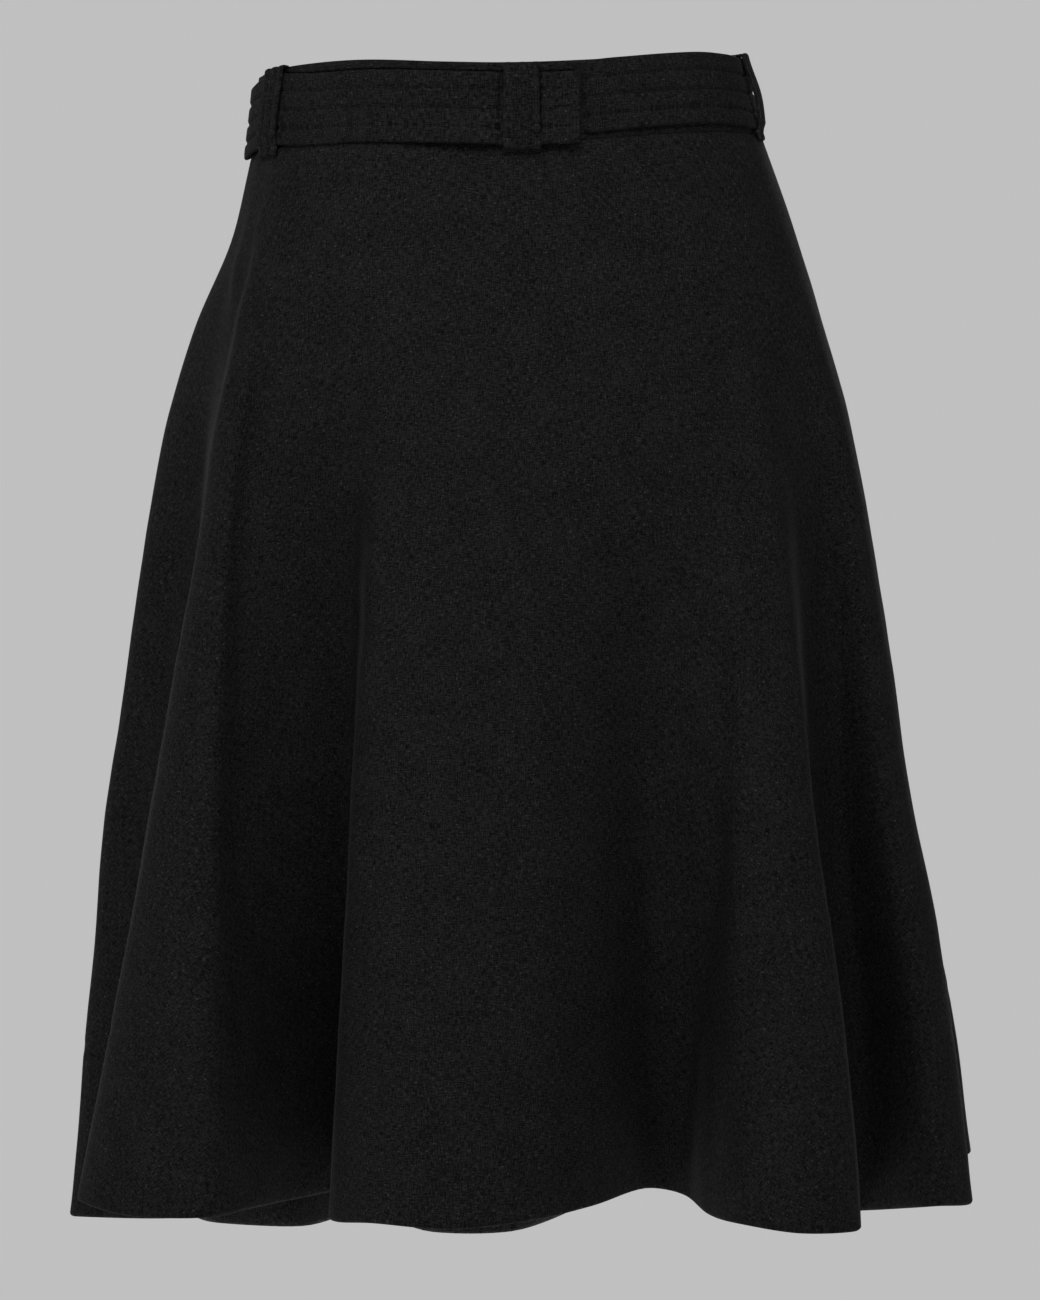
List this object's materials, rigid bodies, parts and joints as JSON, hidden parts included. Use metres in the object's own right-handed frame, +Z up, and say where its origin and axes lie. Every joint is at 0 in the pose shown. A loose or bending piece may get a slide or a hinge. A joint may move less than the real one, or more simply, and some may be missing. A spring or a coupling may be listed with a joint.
{
  "type": "belted flared skirt",
  "caption": "Knee-length flared wool skirt in its worn, hollow form, with deep soft folds, a waistband and a stitched self-fabric belt through folded loops.",
  "frame": {"origin": "centre of the waist opening, in the plane of the waistband's top edge, where the wearer's waist holds the skirt", "axes": "+Z up, front of the skirt towards -Y, +X to the viewer's right seen from the front"},
  "size_m": [0.526, 0.3754, 0.7],
  "materials": {
    "skirt_wool": "charcoal heathered wool suiting, matte with a soft nap",
    "belt_wool": "the same charcoal wool, in several layers with rows of stitching"
  },
  "bodies": {
    "root": {"skirt_front": "skirt_wool", "skirt_back_left": "skirt_wool", "skirt_back_right": "skirt_wool", "waistband_front": "skirt_wool", "waistband_back_left": "skirt_wool", "waistband_back_right": "skirt_wool", "belt": "belt_wool", "belt_loop_left": "belt_wool", "belt_loop_centre": "belt_wool", "belt_loop_right": "belt_wool", "belt_loop_back_left": "belt_wool", "belt_loop_back_right": "belt_wool"}
  },
  "joints": []
}
